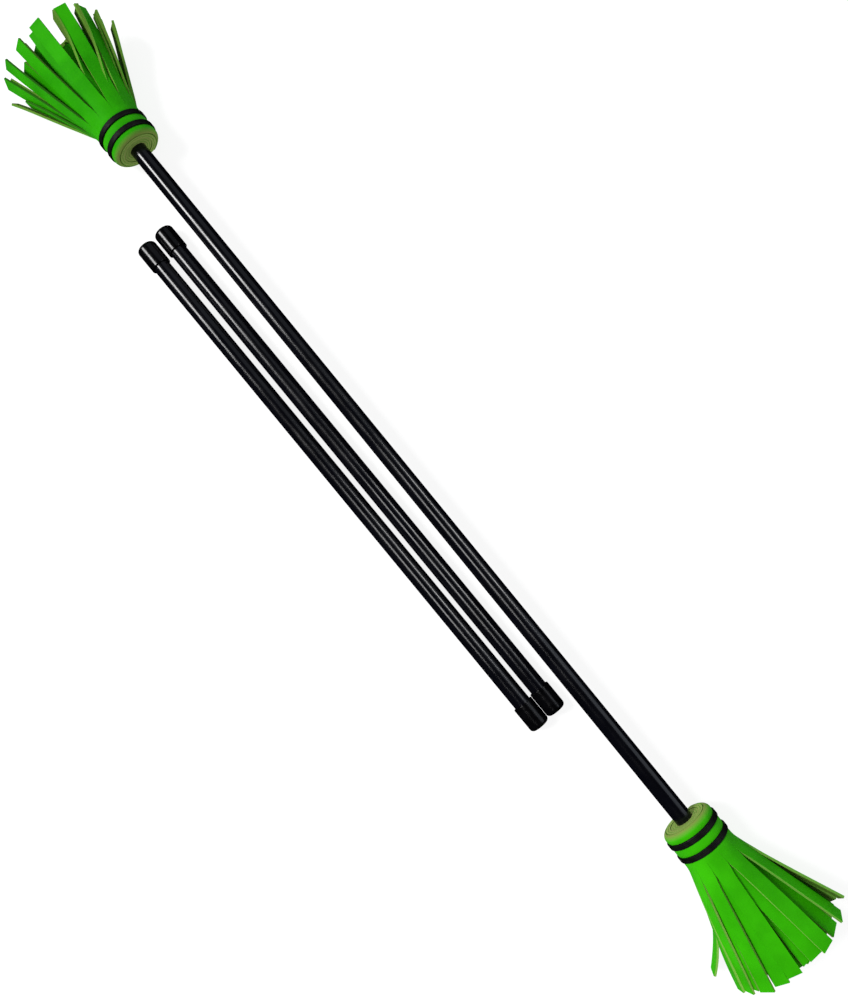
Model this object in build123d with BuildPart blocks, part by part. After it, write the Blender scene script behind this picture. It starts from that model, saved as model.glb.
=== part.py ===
from build123d import *
import os
from math import asin, cos, degrees, radians, sin

# A devil stick and its two hand sticks, lying on a table, in millimetres.
# +X runs along the centre stick, +Z is up, z = 0 is the table, and the origin is on the table
# under the middle of the centre stick.

# Centre stick
face_x = 241.0  # middle of the stick to the flat face of each tassel head
rod_r = 3.5
sleeve_r = 5.0
sleeve_end_x = 260.0  # the grip sleeve runs on through both heads
rod_end_x = 263.0
clearance = 0.3

# Tassel head: a leather packing roll, then a fringed leather strip wound over it
packing_r = 9.2
head_r = 15.0
roll_length = 18.5
rim_fillet = 2.6
packing_recess = 0.4

# Fringe
leather_t = 1.4
strip_width = 8.0
strip_length = 70.0
strip_bend = 12.0  # length of the bend at the foot of each strip
root_overlap = 1.0

# Two rubber bands tie each head
band_width = 3.3
band_r = 15.6
groove_r = 14.5
band_fillet = 0.5
inner_band_x = 6.5  # centre of each band, from the head's face
outer_band_x = 14.7

# Rubber cap on each end of the rod, hidden in the fringe
tip_cap_r = 6.0
tip_cap_length = 10.0
tip_cap_wall = 2.5

# Hand sticks
hand_length = 356.0
hand_cap_r = 6.0
hand_cap_length = 15.5
hand_cap_wall = 2.0
cap_end_fillet = 2.2
cap_mouth_fillet = 0.3
hand_a_x, hand_a_y, hand_a_turn = -20.9, -17.86, 0.44
hand_b_x, hand_b_y, hand_b_turn = -20.0, -30.61, 0.64

# Each layer of the fringe, from the outside in: radius at the foot, number of strips,
# angle of the first strip from straight up, and how far from the axis its side tips reach.
fringe_layers = [
    (13.7, 10, 18.0, 40.0),
    (11.7, 9, 0.0, 29.0),
    (10.0, 7, 0.0, 18.0),
]
outer_root_r = fringe_layers[0][0]
top_droop = 0.58  # share by which the topmost strips reach less than those at the sides

axis_z = band_r  # the centre stick lies on its bands
centre_line = Plane(origin=(0, 0, axis_z), x_dir=(0, 1, 0), z_dir=(1, 0, 0))


def bar(line, radius, start, end):
    """A solid round bar along a line's own z, from start to end."""
    with BuildPart() as piece:
        with BuildSketch(line.offset(start)):
            Circle(radius)
        extrude(amount=end - start)
    return piece


def tube(line, inner_r, outer_r, start, end):
    """A round tube along a line's own z, from start to end."""
    with BuildPart() as piece:
        with BuildSketch(line.offset(start)):
            Circle(outer_r)
            Circle(inner_r, mode=Mode.SUBTRACT)
        extrude(amount=end - start)
    return piece


def end_cap(mouth, bore_r, outer_r, length, wall):
    """A closed cap that fits over a bar. The mouth's plane looks out of the bar's end."""
    along = Axis(mouth.origin, mouth.z_dir)
    with BuildPart() as piece:
        with BuildSketch(mouth):
            Circle(outer_r)
        extrude(amount=length)
        with BuildSketch(mouth):
            Circle(bore_r)
        extrude(amount=length - wall, mode=Mode.SUBTRACT)
        rims = piece.edges().filter_by(GeomType.CIRCLE).group_by(SortBy.RADIUS)[-1].sort_by(along)
        fillet(rims[-1], cap_end_fillet)
        fillet(rims[0], cap_mouth_fillet)
    return piece


def band(middle_x):
    """A rubber band round a head, with soft outer edges."""
    with BuildPart() as piece:
        with BuildSketch(centre_line.offset(middle_x - band_width / 2)):
            Circle(band_r)
            Circle(groove_r, mode=Mode.SUBTRACT)
        extrude(amount=band_width)
        fillet(piece.edges().filter_by(GeomType.CIRCLE).group_by(SortBy.RADIUS)[-1], band_fillet)
    return piece


def tip_reach(turn, root_r, side_reach):
    """How far from the axis a strip's tip is. Below the stick it stays above the table, and
    above the layers that are outside its own there."""
    up = cos(radians(turn))
    if up >= 0:
        return max(root_r, side_reach * (1 - top_droop * up))
    under = clearance + outer_root_r - root_r + leather_t / 2
    room = axis_z - under - strip_width / 2 * abs(sin(radians(turn)))
    return max(root_r, min(side_reach, room / abs(up)))


# The rod and its grip sleeve
centre_core_rod = bar(centre_line, rod_r, -rod_end_x, rod_end_x)
centre_grip_sleeve = tube(centre_line, rod_r, sleeve_r, -sleeve_end_x, sleeve_end_x)

# Leather packing roll that builds up the diameter under the fringe
packing_start_x = face_x + packing_recess
roll_end_x = face_x + roll_length
packing_roll_right = tube(centre_line, sleeve_r, packing_r, packing_start_x, roll_end_x)
packing_roll_left = tube(centre_line, sleeve_r, packing_r, -roll_end_x, -packing_start_x)

# Fringed leather strip: a roll with two shallow waists under the bands, and its strips
with BuildPart() as tassel_right:
    with BuildSketch(centre_line.offset(face_x)):
        Circle(head_r)
        Circle(packing_r, mode=Mode.SUBTRACT)
    extrude(amount=roll_length)
    rim = tassel_right.edges().filter_by(GeomType.CIRCLE).group_by(SortBy.RADIUS)[-1].sort_by(Axis.X)
    fillet(rim[0], rim_fillet)
    for band_x in (inner_band_x, outer_band_x):
        with BuildSketch(centre_line.offset(face_x + band_x - band_width / 2)):
            Circle(head_r + 1)
            Circle(groove_r, mode=Mode.SUBTRACT)
        extrude(amount=band_width, mode=Mode.SUBTRACT)
    for root_r, count, first_turn, side_reach in fringe_layers:
        for k in range(count):
            turn = first_turn + 360 / count * k
            out = Vector(0, sin(radians(turn)), cos(radians(turn)))
            rise = tip_reach(turn, root_r, side_reach) - root_r
            bend = degrees(asin(rise / (strip_length - strip_bend / 2)))
            side = Plane(origin=(roll_end_x, 0, axis_z), x_dir=(1, 0, 0), z_dir=Vector(1, 0, 0).cross(out))
            low_r = root_r - leather_t / 2
            with BuildSketch(side):
                with BuildLine():
                    if bend < 1:
                        under = Line((-root_overlap, low_r), (strip_length, low_r))
                        tip = Line(under @ 1, (strip_length, low_r + leather_t))
                        Polyline(tip @ 1, (-root_overlap, low_r + leather_t), under @ 0)
                    else:
                        bend_r = strip_bend / radians(bend)
                        middle = (0, root_r + bend_r)
                        run = strip_length - strip_bend
                        foot = Line((-root_overlap, low_r), (0, low_r))
                        under_bend = CenterArc(middle, bend_r + leather_t / 2, -90, bend)
                        under = PolarLine(under_bend @ 1, run, bend)
                        tip = PolarLine(under @ 1, leather_t, bend + 90)
                        over = PolarLine(tip @ 1, run, bend + 180)
                        over_bend = CenterArc(middle, bend_r - leather_t / 2, -90, bend)
                        Polyline(over_bend @ 0, (-root_overlap, low_r + leather_t), foot @ 0)
                make_face()
            extrude(amount=strip_width / 2, both=True)

with BuildPart() as tassel_left:
    mirror(tassel_right.part, about=Plane.YZ)

# The hand sticks lie on the table, one behind the other
hand_lines = {
    "a": Plane(
        origin=(hand_a_x, hand_a_y, hand_cap_r),
        z_dir=(cos(radians(hand_a_turn)), sin(radians(hand_a_turn)), 0),
    ),
    "b": Plane(
        origin=(hand_b_x, hand_b_y, hand_cap_r),
        z_dir=(cos(radians(hand_b_turn)), sin(radians(hand_b_turn)), 0),
    ),
}

pieces = {
    "centre_core_rod": centre_core_rod,
    "centre_grip_sleeve": centre_grip_sleeve,
    "packing_roll_left": packing_roll_left,
    "packing_roll_right": packing_roll_right,
    "tassel_left": tassel_left,
    "tassel_right": tassel_right,
    "inner_band_left": band(-face_x - inner_band_x),
    "outer_band_left": band(-face_x - outer_band_x),
    "inner_band_right": band(face_x + inner_band_x),
    "outer_band_right": band(face_x + outer_band_x),
}

# The ends of the rod are capped inside the fringe
right_mouth = centre_line.offset(sleeve_end_x)
left_mouth = Plane(origin=(-sleeve_end_x, 0, axis_z), z_dir=(-1, 0, 0))
pieces["tip_cap_right"] = end_cap(right_mouth, rod_r, tip_cap_r, tip_cap_length, tip_cap_wall)
pieces["tip_cap_left"] = end_cap(left_mouth, rod_r, tip_cap_r, tip_cap_length, tip_cap_wall)

for letter, line in hand_lines.items():
    reach = hand_length / 2 - hand_cap_wall  # half the rod and of its sleeve
    mouth = hand_length / 2 - hand_cap_length
    left = Plane(origin=line.offset(-mouth).origin, z_dir=-line.z_dir)
    pieces[f"hand_{letter}_core_rod"] = bar(line, rod_r, -reach, reach)
    pieces[f"hand_{letter}_grip_sleeve"] = tube(line, rod_r, sleeve_r, -reach, reach)
    pieces[f"hand_{letter}_cap_left"] = end_cap(
        left, sleeve_r, hand_cap_r, hand_cap_length, hand_cap_wall
    )
    pieces[f"hand_{letter}_cap_right"] = end_cap(
        line.offset(mouth), sleeve_r, hand_cap_r, hand_cap_length, hand_cap_wall
    )

os.makedirs("parts", exist_ok=True)
for name, piece in pieces.items():
    piece.part.label = name
    export_step(piece.part, f"parts/{name}.step")
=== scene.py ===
import math
import random

import bpy
import numpy as np
from mathutils import Matrix, Vector


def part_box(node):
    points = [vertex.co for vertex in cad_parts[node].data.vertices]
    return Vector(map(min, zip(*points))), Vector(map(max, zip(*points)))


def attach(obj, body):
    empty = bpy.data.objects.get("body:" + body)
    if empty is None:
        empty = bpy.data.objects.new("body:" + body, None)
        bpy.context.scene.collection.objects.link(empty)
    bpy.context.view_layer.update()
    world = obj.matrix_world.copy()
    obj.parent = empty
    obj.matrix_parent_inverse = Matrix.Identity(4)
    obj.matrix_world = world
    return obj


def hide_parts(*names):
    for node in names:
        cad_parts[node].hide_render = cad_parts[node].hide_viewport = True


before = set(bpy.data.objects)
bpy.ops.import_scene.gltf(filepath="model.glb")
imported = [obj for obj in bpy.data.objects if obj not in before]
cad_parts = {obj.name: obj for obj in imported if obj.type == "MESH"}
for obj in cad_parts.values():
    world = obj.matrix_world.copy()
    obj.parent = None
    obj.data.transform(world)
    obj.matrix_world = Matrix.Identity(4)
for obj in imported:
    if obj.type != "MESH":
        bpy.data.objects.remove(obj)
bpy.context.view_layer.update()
MM = 0.001


# ---------------------------------------------------------------- sizes from the frame
def middle(node):
    low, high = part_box(node)
    return (low + high) / 2


def half_height(node):
    low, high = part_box(node)
    return (high.z - low.z) / 2


axis_z = middle("centre_core_rod").z
sleeve_r = half_height("centre_grip_sleeve")
packing_r = half_height("packing_roll_right")
face_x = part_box("tassel_right")[0].x
roll_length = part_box("packing_roll_right")[1].x - face_x
band_middles = [middle(f"{place}_band_right").x - face_x for place in ("inner", "outer")]
fringe_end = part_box("tassel_right")[1].x - face_x


# ---------------------------------------------------------------- camera, floor and light
def set_camera():
    """Close above the centre stick, tilted a little towards its left end, and rolled so that
    the stick crosses the picture from the upper left to the lower right."""
    height, foot_x = 0.5226, 0.072
    tilt, roll = math.radians(5.5), math.radians(50.8)
    along = Vector((math.cos(tilt), 0, -math.sin(tilt)))
    across = Vector((0, 1, 0))
    back = Vector((math.sin(tilt), 0, math.cos(tilt)))
    right = math.cos(roll) * along + math.sin(roll) * across
    up = -math.sin(roll) * along + math.cos(roll) * across
    data = bpy.data.cameras.new("camera")
    data.sensor_width = 36
    data.lens = 34.2
    camera = bpy.data.objects.new("camera", data)
    turn = Matrix((right, up, back)).transposed().to_4x4()
    camera.matrix_world = Matrix.Translation((foot_x, 0, axis_z + height)) @ turn
    bpy.context.scene.collection.objects.link(camera)
    bpy.context.scene.camera = camera


def area_light(name, place, size, watts, colour=(1, 1, 1), diffuse=True, glossy=True):
    """A light panel with its first side along X, turned towards the centre stick's line."""
    data = bpy.data.lights.new(name, "AREA")
    data.shape = "RECTANGLE"
    data.size, data.size_y = size
    data.energy = watts
    data.color = colour
    light = bpy.data.objects.new(name, data)
    light.location = place
    light.rotation_euler = Vector((0, -place[1], -place[2])).to_track_quat("-Z", "Y").to_euler()
    light.visible_camera = False
    light.visible_diffuse = diffuse
    light.visible_glossy = glossy
    bpy.context.scene.collection.objects.link(light)


def set_stage():
    """A white light table, one big softbox at the left end, and dim panels that only the
    glossy black parts show."""
    floor_size = 12
    bpy.ops.mesh.primitive_plane_add(size=floor_size, location=(0, 0, 0))
    floor = bpy.context.object
    floor.name = "floor"
    material, shader, _ = new_material("floor_paper")
    shader.inputs["Base Color"].default_value = (0.18, 0.18, 0.18, 1)
    shader.inputs["Roughness"].default_value = 0.9
    shader.inputs["Specular IOR Level"].default_value = 0.0
    shader.inputs["Emission Color"].default_value = (1, 1, 1, 1)
    shader.inputs["Emission Strength"].default_value = 0.87
    floor.data.materials.append(material)
    floor.visible_glossy = False
    world = bpy.data.worlds.new("studio")
    bpy.context.scene.world = world
    world.use_nodes = True
    background = world.node_tree.nodes["Background"]
    background.inputs["Color"].default_value = (0.97, 0.98, 1.0, 1)
    background.inputs["Strength"].default_value = 0.5
    world.cycles_visibility.glossy = False
    area_light("key", (-3.4, -3.3, 5.5), (2.4, 2.4), 650, glossy=False)
    area_light("softbox", (-1.86, -1.74, 2.6), (1.1, 1.1), 135, diffuse=False)
    cool = (0.8, 0.88, 1.0)
    area_light("line_front", (0.0, -0.5, 1.04), (0.34, 0.28), 3.9, diffuse=False)
    area_light("line_back", (-0.02, 1.06, 1.04), (0.4, 0.28), 6.2, diffuse=False)
    area_light("sheen_left", (-0.5, 1.1, 1.04), (1.6, 1.4), 3.5, cool, diffuse=False)
    area_light("sheen_right", (0.8, 1.5, 1.04), (1.1, 1.4), 7, cool, diffuse=False)
    bpy.context.scene.view_settings.view_transform = "Standard"


# ---------------------------------------------------------------- materials
def new_material(name):
    """A node material, its Principled shader, and a function that adds a node and sets it."""
    material = bpy.data.materials.new(name)
    material.use_nodes = True
    tree = material.node_tree
    shader = tree.nodes["Principled BSDF"]

    def add(kind, links=None, **values):
        node = tree.nodes.new(kind)
        for key, value in values.items():
            setattr(node, key, value)
        for socket, source in (links or {}).items():
            if isinstance(source, bpy.types.NodeSocket):
                tree.links.new(source, node.inputs[socket])
            else:
                node.inputs[socket].default_value = source
        return node

    add.link = tree.links.new
    return material, shader, add


def ramp(add, source, stops):
    """A grey ramp over source, with (place, grey) stops."""
    node = add("ShaderNodeValToRGB", {"Fac": source})
    marks = node.color_ramp.elements
    while len(marks) < len(stops):
        marks.new(0.5)
    for mark, (place, grey) in zip(marks, stops):
        mark.position = place
        mark.color = (grey, grey, grey, 1)
    return node.outputs["Color"]


def rise(add, source, low, high, top=1.0):
    """0 where source is below low, and top where it is above high."""
    return ramp(add, source, [(low, 0.0), (high, top)])


def noise(add, coordinates, scale, detail, roughness=0.5):
    return add(
        "ShaderNodeTexNoise",
        {"Vector": coordinates, "Scale": scale, "Detail": detail, "Roughness": roughness},
    ).outputs["Fac"]


MIX_SHARE, MIX_A, MIX_B, MIX_RESULT = 0, 6, 7, 2  # a Mix node's sockets for colours


def mix(add, share, a, b):
    """a where share is 0, and b where it is 1."""
    node = add("ShaderNodeMix", data_type="RGBA")
    for index, source in ((MIX_SHARE, share), (MIX_A, a), (MIX_B, b)):
        if isinstance(source, bpy.types.NodeSocket):
            add.link(source, node.inputs[index])
        else:
            node.inputs[index].default_value = (*source, 1) if isinstance(source, tuple) else source
    return node.outputs[MIX_RESULT]


def scaled(add, share, source):
    """source times share."""
    return mix(add, share, (0, 0, 0), source)


def bump(add, height, distance, strength, normal=None):
    links = {"Height": height, "Distance": distance, "Strength": strength}
    if normal is not None:
        links["Normal"] = normal
    return add("ShaderNodeBump", links).outputs["Normal"]


def finish_material(material, shader, add, colour, roughness, normal, **fixed):
    """Link the shader's inputs, and set the fixed ones. roughness is None where it is fixed."""
    add.link(colour, shader.inputs["Base Color"])
    if roughness is not None:
        add.link(roughness, shader.inputs["Roughness"])
    add.link(normal, shader.inputs["Normal"])
    for name, value in fixed.items():
        shader.inputs[name.replace("_", " ")].default_value = value
    return material


FLECK_GREEN = (0.05, 0.38, 0.002)
WORN_GREEN = (0.17, 0.25, 0.05)
WORN_RIM = 5 * MM  # the rubbed grain fades out within this distance of the roll's front edge
EDGE_RANGE = 50 * MM  # the edges' colour ramp covers this distance from the front edge
ROLL_KHAKI_LOW = (0.15, 0.24, 0.045)
ROLL_KHAKI_HIGH = (0.28, 0.36, 0.10)
# Dark green painted on some strips' edges as painted shade between the strips.
PAINTED_SHADE_EDGE = (0.012, 0.10, 0.004)
SKIN_GREEN = (0.03, 0.33, 0.006)


def leather_grain(name, low, high):
    """Smooth green grain side: cloudy dye, fine pores and faint creases along the strips."""
    material, shader, add = new_material(name)
    place = add("ShaderNodeTexCoord").outputs["Object"]
    cut = add("ShaderNodeAttribute", attribute_name="cut").outputs["Vector"]
    clouds = rise(add, noise(add, place, 45, 3), 0.35, 0.65)
    colour = mix(add, clouds, low, high)
    fine = rise(add, noise(add, place, 900, 3), 0.3, 0.75)
    colour = mix(add, scaled(add, 0.12, fine), colour, FLECK_GREEN)
    from_rim = add("ShaderNodeSeparateXYZ", {"Vector": cut}).outputs["Y"]
    rim_share = add("ShaderNodeMath", {0: from_rim, 1: WORN_RIM}, operation="DIVIDE").outputs[0]
    worn = ramp(add, rim_share, [(0.12, 1.0), (0.62, 0.0)])
    colour = mix(add, worn, colour, WORN_GREEN)
    pores = add(
        "ShaderNodeTexVoronoi", {"Vector": place, "Scale": 1500.0}, feature="DISTANCE_TO_EDGE"
    ).outputs["Distance"]
    long_grain = add("ShaderNodeMapping", {"Vector": cut, "Scale": (1.0, 0.12, 1.0)})
    creases = noise(add, long_grain.outputs["Vector"], 700, 2)
    roughness = ramp(add, noise(add, place, 260, 4), [(0.3, 0.5), (0.7, 0.66)])
    normal = bump(add, creases, 0.1 * MM, 0.5)
    normal = bump(add, rise(add, pores, 0.0, 0.12), 0.04 * MM, 0.7, normal)
    return finish_material(
        material, shader, add, colour, roughness, normal, Specular_IOR_Level=0.03
    )


def leather_flesh():
    """Khaki flesh side: short raised fibres that run with the strip."""
    material, shader, add = new_material("leather_flesh")
    place = add("ShaderNodeTexCoord").outputs["Object"]
    cut = add("ShaderNodeAttribute", attribute_name="cut").outputs["Vector"]
    fibres = add("ShaderNodeMapping", {"Vector": cut, "Scale": (1.0, 0.16, 1.0)})
    fibre = noise(add, fibres.outputs["Vector"], 1700, 4, 0.7)
    clouds = noise(add, place, 70, 3)
    colour = mix(add, rise(add, fibre, 0.3, 0.7), (0.05, 0.12, 0.010), (0.12, 0.19, 0.03))
    colour = mix(add, rise(add, clouds, 0.35, 0.75, 0.6), colour, (0.035, 0.18, 0.006))
    normal = bump(add, fibre, 0.22 * MM, 0.8)
    return finish_material(
        material, shader, add, colour, None, normal,
        Roughness=0.95, Specular_IOR_Level=0.05,
    )


def leather_edge(name, painted_strip_low, painted_strip_high, painted_shade_stops):
    """Cut edge: pale khaki fibre with the thin green skin showing along the grain side. The
    strips' edges get their own colour: paler on the right head, as painted light, and darker on
    the left head, as painted shade. The last argument gives (share of the sheet's length, share)
    stops, where 1 paints the edges dark green as painted shade between the strips."""
    material, shader, add = new_material(name)
    place = add("ShaderNodeTexCoord").outputs["Object"]
    cut = add("ShaderNodeAttribute", attribute_name="cut")
    split = add("ShaderNodeSeparateXYZ", {"Vector": cut.outputs["Vector"]})
    depth = split.outputs["Z"]
    fibre = noise(add, place, 2200, 3, 0.7)
    colour = mix(add, rise(add, fibre, 0.3, 0.7), ROLL_KHAKI_LOW, ROLL_KHAKI_HIGH)
    # The strips' own edge colour past the roll: painted light on the right head, painted shade on the
    # left.
    strips = mix(add, rise(add, fibre, 0.3, 0.7), painted_strip_low, painted_strip_high)
    along_sheet = add(
        "ShaderNodeMath", {0: split.outputs["X"], 1: SHEET_LENGTH}, operation="DIVIDE"
    ).outputs[0]
    # Dark green painted shade on the strips' edges at the given stops along the sheet.
    strips = mix(add, ramp(add, along_sheet, painted_shade_stops), strips, PAINTED_SHADE_EDGE)
    past_roll = add(
        "ShaderNodeMath", {0: split.outputs["Y"], 1: EDGE_RANGE}, operation="DIVIDE"
    ).outputs[0]
    colour = mix(add, rise(add, past_roll, 0.38, 0.5), colour, strips)
    colour = mix(add, rise(add, depth, 0.5, 0.8, 0.7), colour, SKIN_GREEN)
    normal = bump(add, fibre, 0.12 * MM, 0.7)
    return finish_material(
        material, shader, add, colour, None, normal, Roughness=0.9, Specular_IOR_Level=0.05
    )


def black_silicone():
    """Glossy grip sleeve: near black, with faint dust, fine scuffs and a slightly wavy skin."""
    material, shader, add = new_material("grip_silicone")
    place = add("ShaderNodeTexCoord").outputs["Object"]
    stretched = add("ShaderNodeMapping", {"Vector": place, "Scale": (0.25, 1.0, 1.0)}).outputs["Vector"]
    dust = rise(add, noise(add, place, 1300, 2, 0.8), 0.62, 0.78)
    clouds = rise(add, noise(add, place, 60, 3), 0.3, 0.7)
    base = mix(add, clouds, (0.0009, 0.0010, 0.0020), (0.0020, 0.0021, 0.0038))
    colour = mix(add, scaled(add, 0.2, dust), base, (0.03, 0.03, 0.034))
    roughness = ramp(add, noise(add, stretched, 240, 4), [(0.3, 0.13), (0.75, 0.27)])
    normal = bump(add, noise(add, stretched, 110, 2), 0.08 * MM, 0.35)
    normal = bump(add, noise(add, place, 1600, 2), 0.01 * MM, 0.5, normal)
    return finish_material(
        material, shader, add, colour, roughness, normal, Specular_IOR_Level=0.3
    )


def moulded_rubber(name, low, high, shine, level):
    """Moulded rubber with a fine texture and a little bloom. shine is its lowest roughness and
    level its specular level."""
    material, shader, add = new_material(name)
    place = add("ShaderNodeTexCoord").outputs["Object"]
    clouds = rise(add, noise(add, place, 130, 4), 0.35, 0.7)
    colour = mix(add, clouds, low, high)
    roughness = ramp(add, noise(add, place, 500, 4), [(0.3, shine), (0.75, shine + 0.12)])
    normal = bump(add, noise(add, place, 2600, 2), 0.012 * MM, 0.5)
    return finish_material(
        material, shader, add, colour, roughness, normal, Specular_IOR_Level=level
    )


def band_rubber():
    """Flat black elastic with fine ridges that run round the head."""
    material, shader, add = new_material("band_rubber")
    place = add("ShaderNodeTexCoord").outputs["Object"]
    ridges = add(
        "ShaderNodeTexWave", {"Vector": place, "Scale": 360.0, "Distortion": 0.6, "Detail": 1.0},
        bands_direction="X",
    ).outputs["Fac"]
    clouds = rise(add, noise(add, place, 400, 3), 0.3, 0.7)
    colour = mix(add, clouds, (0.0015, 0.002, 0.0015), (0.005, 0.006, 0.005))
    roughness = ramp(add, noise(add, place, 900, 2), [(0.3, 0.45), (0.7, 0.62)])
    normal = bump(add, ridges, 0.08 * MM, 0.6)
    return finish_material(
        material, shader, add, colour, roughness, normal, Specular_IOR_Level=0.1
    )


def dowel_wood():
    """Plain beech: short flecks along the rod."""
    material, shader, add = new_material("dowel_wood")
    place = add("ShaderNodeTexCoord").outputs["Object"]
    grain = add("ShaderNodeMapping", {"Vector": place, "Scale": (0.06, 1.0, 1.0)}).outputs["Vector"]
    lines = noise(add, grain, 900, 4, 0.6)
    colour = mix(add, rise(add, lines, 0.35, 0.7), (0.42, 0.25, 0.12), (0.62, 0.42, 0.22))
    normal = bump(add, lines, 0.06 * MM, 0.5)
    return finish_material(material, shader, add, colour, None, normal, Roughness=0.6)


# ---------------------------------------------------------------- wound leather
LEATHER_T = 1.35 * MM
TURN_PITCH = 1.45 * MM  # from one turn to the next
CLIMB = math.radians(35)  # stretch over which a turn climbs onto the sheet's inner end
SEAM = math.pi  # the sheet starts and ends at the bottom of the head
SEGMENTS = 6  # across one strip
STRIP_ROWS = 28
WINDING_STEPS = 4000
TINY = 1e-9
CREASE = math.radians(40)  # edges sharper than this aren't smoothed
GRAIN, FLESH, EDGE = 0, 1, 2


def smooth(x, low, high):
    """0 below low, 1 above high, and a soft step between."""
    t = np.clip((np.asarray(x, float) - low) / (high - low), 0, 1)
    return t * t * (3 - 2 * t)


def unit(vectors):
    return vectors / np.linalg.norm(vectors, axis=-1, keepdims=True)


def outward(angle):
    """Unit vector from the stick's axis, where the angle runs from straight up towards +Y."""
    angle = np.asarray(angle, float)
    return np.stack([np.zeros_like(angle), np.sin(angle), np.cos(angle)], -1)


def wrapped(turn):
    """The same angle between half a turn back and half a turn forward."""
    return (turn + math.pi) % math.tau - math.pi


def winding(first_r, turns, columns):
    """Wound angle, radius and length at equal steps along a sheet wound round the stick."""
    angle = np.linspace(0, math.tau * turns, WINDING_STEPS)
    whole = np.floor(angle / math.tau + TINY)
    part = angle - math.tau * whole
    radius = first_r + TURN_PITCH * (whole + smooth(part, math.tau - CLIMB, math.tau))
    steps = np.diff(angle) * (radius[1:] + radius[:-1]) / 2
    arc = np.concatenate([[0], np.cumsum(steps)])
    place = np.linspace(0, arc[-1], columns + 1)
    return np.interp(place, arc, angle), np.interp(place, arc, radius), place


def grid_quads(first_row, second_row):
    """Faces between two rows of point numbers."""
    return list(zip(first_row, second_row, second_row[1:], first_row[1:]))


def thick_sheet(name, middle_points, quads, flat, thickness, side):
    """A closed sheet round its middle surface: grain outside, flesh inside, cut edges between.
    flat holds each point's place on the uncut sheet, which the materials read as "cut"."""
    quads = np.asarray(quads)
    if side < 0:
        quads = quads[:, ::-1]
    a, b, c, d = (middle_points[quads[:, k]] for k in range(4))
    face_normals = np.cross(c - a, d - b)
    normals = np.zeros_like(middle_points)
    for k in range(4):
        np.add.at(normals, quads[:, k], face_normals)
    half = (thickness / 2)[:, None] * unit(normals)
    points = np.concatenate([middle_points + half, middle_points - half])
    count = len(middle_points)
    edges = {}
    for quad in quads.tolist():
        for p, q in zip(quad, quad[1:] + quad[:1]):
            if edges.pop((q, p), None) is None:
                edges[(p, q)] = True
    rim = [(q, p, p + count, q + count) for p, q in edges]
    faces = quads.tolist() + (quads[:, ::-1] + count).tolist() + rim
    mesh = bpy.data.meshes.new(name)
    mesh.from_pydata(points.tolist(), [], [tuple(f) for f in faces])
    kinds = [GRAIN] * len(quads) + [FLESH] * len(quads) + [EDGE] * len(rim)
    mesh.polygons.foreach_set("material_index", kinds)
    mesh.polygons.foreach_set("use_smooth", [True] * len(kinds))
    cut = mesh.attributes.new("cut", "FLOAT_VECTOR", "POINT")
    depth = np.concatenate([np.ones(count), -np.ones(count)])
    cut.data.foreach_set("vector", np.column_stack([np.tile(flat, (2, 1)), depth]).ravel())
    mesh.set_sharp_from_angle(angle=CREASE)
    piece = bpy.data.objects.new(name, mesh)
    bpy.context.scene.collection.objects.link(piece)
    for material in (grain_materials[side], flesh_material, edge_materials[side]):
        mesh.materials.append(material)
    return piece


WHOLE_TURNS = 4
OUTER_TURN = WHOLE_TURNS - 1
TURNS = WHOLE_TURNS - CLIMB / math.tau
STRIPS = 36
COLUMNS = STRIPS * SEGMENTS
SHEET_ANGLE, SHEET_RADIUS, SHEET_PLACE = winding(packing_r + TURN_PITCH / 2, TURNS, COLUMNS)
SHEET_LENGTH = float(SHEET_PLACE[-1])
LIP_R = 2.6 * MM  # the outer turn's front edge curls in over the ends of the others
LIP_STEPS = 8
ROLL_STEPS = 16
LIP_ARC = math.radians(75)
LIP_LENGTH = LIP_R * LIP_ARC
LIP_START = 3.1 * MM  # the curl begins this far behind the face
TUCK = 2.4 * MM  # the turn under the lip stands back from the face
SKIVE = 0.22  # share by which the lip's edge is thinned
WAIST = 0.47 * MM  # how far the bands press the outer turn in
WAIST_HALF = 2.0 * MM  # half the width of each waist


def turn_share(wound, turn):
    """0 before the given turn of the sheet, counted from 0, and 1 from there on."""
    start = math.tau * turn
    return smooth(wound, start - CLIMB, start)


def roll_row(u, wound, radius):
    """Distance from the face, radius and thickness of the wound sheet at u from its front edge."""
    outer = turn_share(wound, OUTER_TURN)
    back = TUCK * (turn_share(wound, OUTER_TURN - 1) - outer)
    curl = LIP_ARC * max(0.0, 1 - u / LIP_LENGTH)
    behind = max(0.0, u - LIP_LENGTH) / (roll_length - LIP_LENGTH)
    lip_x = LIP_START - LIP_R * math.sin(curl) + behind * (roll_length - LIP_START)
    x = outer * lip_x + (1 - outer) * (back + u * (1 - back / roll_length))
    dip = sum(WAIST * math.exp(-(((u - band) / WAIST_HALF) ** 4)) for band in band_middles)
    share = (radius - radius[0]) / (radius[-1] - radius[0])
    thinned = SKIVE * outer * (1 - float(smooth(u, 0, LIP_LENGTH)))
    return x, radius - outer * LIP_R * (1 - math.cos(curl)) - share * dip, LEATHER_T * (1 - thinned)


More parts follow.
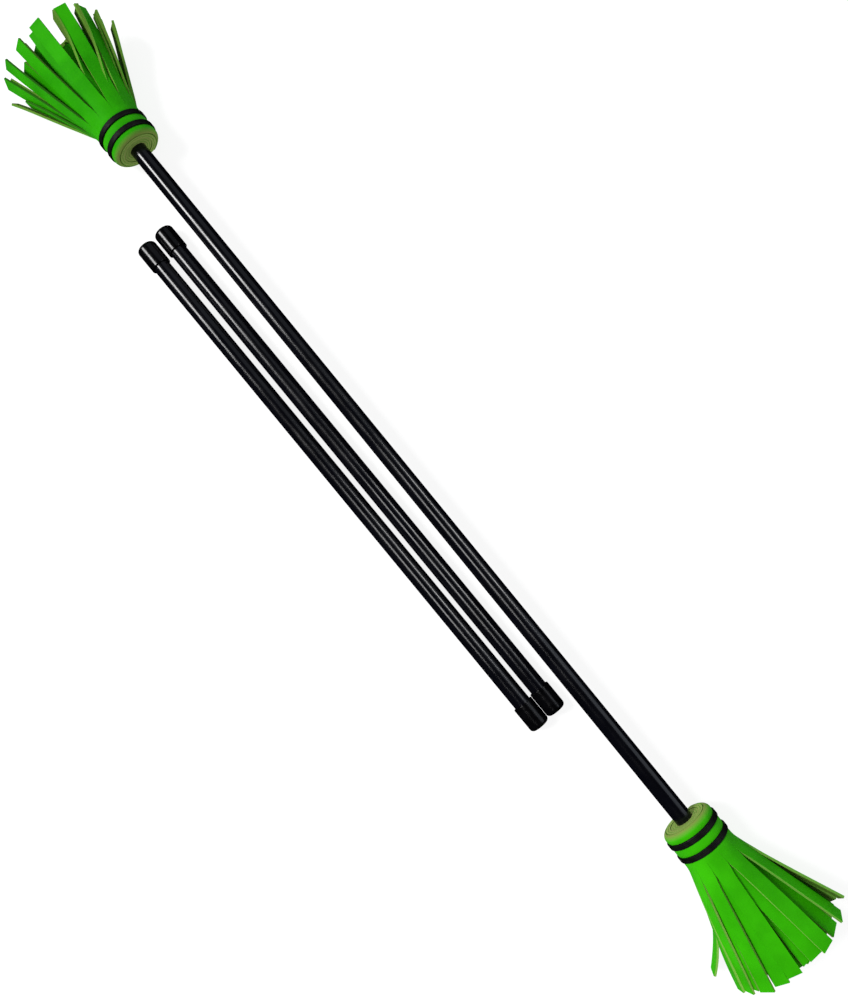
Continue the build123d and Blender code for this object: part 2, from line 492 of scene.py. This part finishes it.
SIDE_REACH = (18 * MM, 40 * MM)  # tips of the innermost and outermost strips at the sides
TOP_DROOP = 0.58  # share by which the topmost strips reach less than those at the sides
BEND = 7 * MM  # length of the bend at a strip's foot
UNCUT = 14 * MM  # the slits open from here on
UNCURL = 34 * MM  # a strip is flat across from here on
KERF = 0.4 * MM  # width that the slits take from each strip
FLOOR_GAP = 0.3 * MM  # least room under the outermost strips
FLOOR_SOFT = 0.6 * MM  # height over which a strip rounds off onto the floor
MAX_PULL = 1.5 * MM  # how far join_roots may move an edge
MAX_SLOPE = 0.9  # sine of a strip's steepest slope away from the axis, before bow and wave
FACING_SHARE = 0.8  # the tip of a strip above the stick faces this share of its foot's angle
LYING_SHARE = 0.3  # and one below the stick turns this share of the way to facing straight down
SLOPE_WAVE, CURL_WAVE = 7, 6  # radians of wave from a strip's foot to its tip
LEAST_CURVE = 1e-3  # 1 / m, so that a flat strip doesn't divide by zero
ROOT_ROWS = 7  # rows of points where the strips aren't apart yet
STRIP_LENGTH = fringe_end - roll_length


def usual_look(turn, root_r, rank, width, draw):
    """Where a strip's tip is from the stick's axis, which way it faces, and its small flaws.
    Strips above the stick droop onto the ones below them, and those below it lie on the floor."""
    turn = wrapped(turn)
    up = math.cos(turn)
    reach = SIDE_REACH[0] + rank * (SIDE_REACH[1] - SIDE_REACH[0])
    facing = turn * FACING_SHARE
    under = LEATHER_T / 2 + FLOOR_GAP + (1 - rank) * OUTER_TURN * TURN_PITCH
    if up >= 0:
        reach *= 1 - TOP_DROOP * up
    else:
        room = axis_z - under - width / 2 * abs(math.sin(turn))
        reach = min(reach, room / max(-up, 1e-6))
        facing = turn + LYING_SHARE * (math.copysign(math.pi, turn) - turn)
    reach = max(reach, root_r)
    return {
        "side": reach * math.sin(turn) + draw.uniform(-1.5, 1.5) * MM,
        "up": reach * up + draw.uniform(-1, 1) * MM,
        "facing": facing + math.radians(draw.uniform(-9, 9)),
        "longer": draw.uniform(-1.4, 1.0) * MM,
        "curl": math.radians(draw.uniform(-6, 4)),
        "slant": math.radians(draw.uniform(-8, 8)),
        "bow": draw.uniform(-0.2, 0.3),
        "wave": math.radians(draw.uniform(-1.6, 1.6)),
        "phase": draw.uniform(0, math.tau),
        "under": under,
    }


def strip_frames(turn, root_r, look):
    """Places, directions and outward normals down the middle of one strip."""
    turn = wrapped(turn)
    size = STRIP_LENGTH + look["longer"]
    near = np.linspace(0, UNCUT, ROOT_ROWS + 1)
    u = np.concatenate([near, np.linspace(UNCUT, size, STRIP_ROWS - ROOT_ROWS + 1)[1:]])
    steps = u / size
    bend = smooth(u, 0, BEND)
    root = np.array([roll_length, 0, 0]) + outward(turn) * root_r
    sideways = np.array([0, look["side"], look["up"]]) - root * (0, 1, 1)
    travel = np.linalg.norm(sideways)
    sideways /= travel
    slope = math.asin(min(MAX_SLOPE, travel / (size - BEND / 2))) * bend
    slope = slope * (1 + look["bow"] * (steps - 0.5))
    slope = slope + look["wave"] * steps * np.sin(SLOPE_WAVE * steps + look["phase"])
    along = np.outer(np.cos(slope), (1, 0, 0)) + np.outer(np.sin(slope), sideways)
    facing = turn + (look["facing"] - turn) * smooth(steps, 0.03, 0.9)
    normal = outward(facing)
    curl = math.tan(look["curl"]) * steps**2
    curl = curl + look["wave"] * steps * np.cos(CURL_WAVE * steps + look["phase"])
    along = unit(along + normal * curl[:, None])
    normal = unit(normal - along * np.sum(along * normal, 1)[:, None])
    travelled = (along[1:] + along[:-1]) / 2 * np.diff(u)[:, None]
    spine = root + np.concatenate([[np.zeros(3)], np.cumsum(travelled, 0)])
    return u, bend, spine, along, normal


def strip_rows(turn, root_r, width, root, across, look):
    """Rows of points of one strip after its root, and how far along it each point is."""
    u, bend, spine, along, normal = strip_frames(turn, root_r, look)
    wide = np.cross(normal, along)
    floor = look["under"] - axis_z
    rows, lengths = [], []
    for j in range(STRIP_ROWS + 1):
        curve = (1 - float(smooth(u[j], 0, UNCURL))) / root_r + LEAST_CURVE
        w = across * (1 - KERF / width * float(smooth(u[j], UNCUT / 2, UNCUT)))
        slant = math.tan(look["slant"]) * w * (u[j] / u[-1]) ** 2
        row = (
            spine[j]
            + np.outer(np.sin(curve * w) / curve, wide[j])
            - np.outer((1 - np.cos(curve * w)) / curve, normal[j])
            + np.outer(slant, along[j])
        )
        if j == 0:
            offset = root - row
            continue
        row += offset * (1 - bend[j])
        low = floor + FLOOR_SOFT * np.logaddexp(0, (row[:, 2] - floor) / FLOOR_SOFT)
        row[:, 2] += (low - row[:, 2]) * bend[j]
        rows.append(row)
        lengths.append(roll_length + u[j] + slant)
    return np.array(rows), lengths


def join_roots(strips):
    """Bring the edges of neighbouring strips together where the sheet isn't cut yet."""
    share = np.linspace(0, 1, SEGMENTS + 1)[:, None]
    for j in range(ROOT_ROWS):
        held = 1 - float(smooth((j + 1) / ROOT_ROWS, 0.3, 1))
        rows = [strip[j] for strip in strips]
        pulls = []
        for before, after in zip(rows, rows[1:]):
            gap = after[0] - before[-1]
            size = max(TINY, float(np.linalg.norm(gap)))
            pulls.append(gap / 2 * held * min(1, MAX_PULL / size))
        none = np.zeros(3)
        for row, left, right in zip(rows, [none, *pulls], [*pulls, none]):
            row += right * share - left * (1 - share)


def tassel(side, own_looks, seed):
    """The wound and fringed leather of one head. side is 1 for the right head, -1 for the left.
    own_looks holds the strips that don't follow usual_look, as RIGHT_LOOKS does."""
    draw = random.Random(seed)
    radius, length = SHEET_RADIUS, SHEET_PLACE
    angle = SHEET_ANGLE + SEAM
    points, flat, thick, quads = [], [], [], []
    lip = np.linspace(0, LIP_LENGTH, LIP_STEPS + 1)[:-1]
    rest = np.linspace(LIP_LENGTH, roll_length, ROLL_STEPS + 1)
    numbers = list(range(COLUMNS + 1))
    for u in np.concatenate([lip, rest]):
        x, r, t = roll_row(u, SHEET_ANGLE, radius)
        points.append(np.column_stack([x, r * np.sin(angle), r * np.cos(angle)]))
        flat.append(np.column_stack([length, np.full(COLUMNS + 1, u)]))
        thick.append(t * np.ones(COLUMNS + 1))
        if u:
            quads += grid_quads([n - COLUMNS - 1 for n in numbers], numbers)
        numbers = [n + COLUMNS + 1 for n in numbers]
    count = numbers[0]
    root_numbers = [n - COLUMNS - 1 for n in numbers]
    root_points = points[-1]
    strips, lengths = [], []
    for k in range(STRIPS):
        span = slice(k * SEGMENTS, (k + 1) * SEGMENTS + 1)
        centre = k * SEGMENTS + SEGMENTS // 2
        rank = (radius[centre] - radius[0]) / (radius[-1] - radius[0])
        width = SHEET_LENGTH / STRIPS
        look = usual_look(angle[centre], radius[centre], rank, width, draw)
        if k in own_looks:
            across, up, facing, longer, bow = own_looks[k]
            look.update(side=across * MM, up=up * MM, facing=math.radians(facing))
            look.update(longer=longer * MM, bow=bow, curl=look["curl"] / 2)
        rows, along = strip_rows(
            angle[centre], radius[centre], width, root_points[span],
            length[span] - length[centre], look,
        )
        strips.append(rows)
        lengths.append(along)
    join_roots(strips)
    for k, (rows, along) in enumerate(zip(strips, lengths)):
        span = slice(k * SEGMENTS, (k + 1) * SEGMENTS + 1)
        before = root_numbers[span]
        for row, row_length in zip(rows, along):
            points.append(row)
            flat.append(np.column_stack([length[span], row_length]))
            thick.append(np.full(SEGMENTS + 1, LEATHER_T))
            numbers = list(range(count, count + SEGMENTS + 1))
            quads += grid_quads(before, numbers)
            before = numbers
            count += SEGMENTS + 1
    points = np.concatenate(points)
    points[:, 0] = side * (face_x + points[:, 0])
    points[:, 2] += axis_z
    name = "leather_tassel_" + ("right" if side > 0 else "left")
    return thick_sheet(name, points, quads, np.concatenate(flat), np.concatenate(thick), side)


def packing(side):
    """The plain leather strip that is wound on the shaft under the tassel."""
    columns, rows = 90, 8
    turns = (packing_r - sleeve_r) / TURN_PITCH
    wound, radius, length = winding(sleeve_r + TURN_PITCH / 2, turns, columns)
    angle = wound + SEAM
    points, flat, quads = [], [], []
    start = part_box("packing_roll_right")[0].x - face_x
    numbers = list(range(columns + 1))
    for x in np.linspace(start, roll_length, rows + 1):
        across = np.full(columns + 1, x)
        points.append(np.column_stack([across, radius * np.sin(angle), radius * np.cos(angle)]))
        flat.append(np.column_stack([length, across]))
        if x > start:
            quads += grid_quads([n - columns - 1 for n in numbers], numbers)
        numbers = [n + columns + 1 for n in numbers]
    points = np.concatenate(points)
    points[:, 0] = side * (face_x + points[:, 0])
    points[:, 2] += axis_z
    name = "leather_packing_" + ("right" if side > 0 else "left")
    thick = np.full(len(points), LEATHER_T)
    piece = thick_sheet(name, points, quads, np.concatenate(flat), thick, side)
    return piece, float(length[-1]), roll_length - start


# ---------------------------------------------------------------- build
set_camera()
set_stage()
# The left head's grain is a darker copy of the same leather: painted shade.
grain_materials = {
    1: leather_grain("leather_grain_right", (0.021, 0.30, 0.0003), (0.032, 0.40, 0.001)),
    -1: leather_grain("leather_grain_left_painted_shade", (0.013, 0.24, 0.0003), (0.022, 0.325, 0.001)),
}
flesh_material = leather_flesh()
# Stops along the sheet where the strips' edges are painted dark green, as painted shade.
RIGHT_EDGE_SHADE = [(0.65, 0.0), (0.66, 0.5), (0.70, 0.5), (0.71, 0.0), (0.90, 0.0), (0.91, 0.5)]
LEFT_EDGE_SHADE = [
    (0.47, 0.0), (0.49, 0.9), (0.545, 0.9), (0.56, 0.0),
    (0.79, 0.0), (0.80, 0.9), (0.855, 0.9), (0.87, 0.0),
]
# Strip edges: paler on the right head as painted light, darker on the left head as painted shade.
edge_materials = {
    1: leather_edge("leather_edge_right_painted_light", (0.12, 0.36, 0.03), (0.26, 0.48, 0.09), RIGHT_EDGE_SHADE),
    -1: leather_edge("leather_edge_left_painted_shade", (0.06, 0.18, 0.012), (0.14, 0.27, 0.04), LEFT_EDGE_SHADE),
}

# Strips that stand out: tip sideways and up from the axis in mm, facing in degrees from
# straight up towards +Y, extra length in mm, and how much more it bends near its tip.
RIGHT_LOOKS = {
    18: (-39, -11, -97, -6, 1.7),
    27: (-30.5, -8, -110, -8, 0),
    28: (-32.8, 0, -80, -0.3, -0.3),
    29: (-31, 5.5, -64, -0.8, 0),
    9: (-30, 1, -80, -2, 0),
    19: (-27.5, 6.5, -58, -1.5, 0),
    10: (-24.5, 8, -50, 0, 0),
    30: (-22.3, 11, -38, 1.2, 0),
    20: (-14, 12.5, -22, 1.2, 0),
    31: (-6.5, 16.5, -4, 0, 0),
    21: (7.8, 14, 8, 0, 0),
    32: (15.6, 14.5, 18, 0.2, 0.1),
    22: (23.7, 7, 35, 0.7, 0),
    33: (30.6, 10, 62, -2.8, 0),
    23: (32, 3, 78, -4, 0),
    34: (37.5, 4, 104, -5, 0.3),
    24: (33.5, -2, 120, -4.5, 0.2),
    35: (30, -10, 140, -8, 0),
}
LEFT_LOOKS = {
    27: (-40.5, -9, -111, -4.5, 0.25),
    28: (-32.7, -5, -92, -16, 0),
    18: (-36.2, 1, -68, -1.5, 0),
    9: (-31.8, -2, -93, -2.5, 0),
    19: (-20.7, 8, -58, -9.5, 0),
    29: (-28.5, 9, -64, -0.5, 0),
    30: (-15.9, 14, -45, -0.3, 0),
    2: (-10, 8, -45, -6, 0),
    20: (-3.8, 13, -12, 0, 0),
    31: (-0.3, 17.5, -10, -0.3, 0),
    11: (-8, 9, -30, -13, 0),
    12: (4, 9, 10, -17, 0),
    4: (9, 5, 20, -14, 0),
    6: (8, 3, 60, -12, 0),
    21: (12.3, 13.5, 112, 0, 0),
    32: (16.8, 15.5, 14, 0.4, 0),
    22: (24.6, 11, 122, -3, 0),
    33: (27.1, 10.5, 62, -2.5, 0),
    34: (30.4, 6, 118, -8, -0.1),
    23: (30.5, 3, 80, -8, -0.1),
    24: (34.2, 3, 112, -15, -0.1),
    14: (30, 4, 100, -14, 0),
    35: (35.3, 0, 102, -12, 0.05),
}
CENTRE = "centre_stick"
for word, side, looks, seed in (("right", 1, RIGHT_LOOKS, 5), ("left", -1, LEFT_LOOKS, 9)):
    roll = tassel(side, looks, seed)
    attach(roll, CENTRE)
    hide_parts(f"tassel_{word}")
    inner, inner_size, inner_width = packing(side)
    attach(inner, CENTRE)
    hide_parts(f"packing_roll_{word}")

silicone = black_silicone()
cap = moulded_rubber("cap_rubber", (0.0005, 0.0005, 0.0008), (0.002, 0.002, 0.0026), 0.14, 0.2)
tip = moulded_rubber("tip_rubber", (0.01, 0.01, 0.01), (0.02, 0.02, 0.02), 0.5, 0.3)
band = band_rubber()
wood = dowel_wood()
FINISHES = (("sleeve", silicone), ("core_rod", wood), ("band", band), ("tip_cap", tip), ("_cap_", cap))
for name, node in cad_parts.items():
    finish = next((material for word, material in FINISHES if word in name), None)
    if finish is not None:
        node.material_slots[0].material = finish
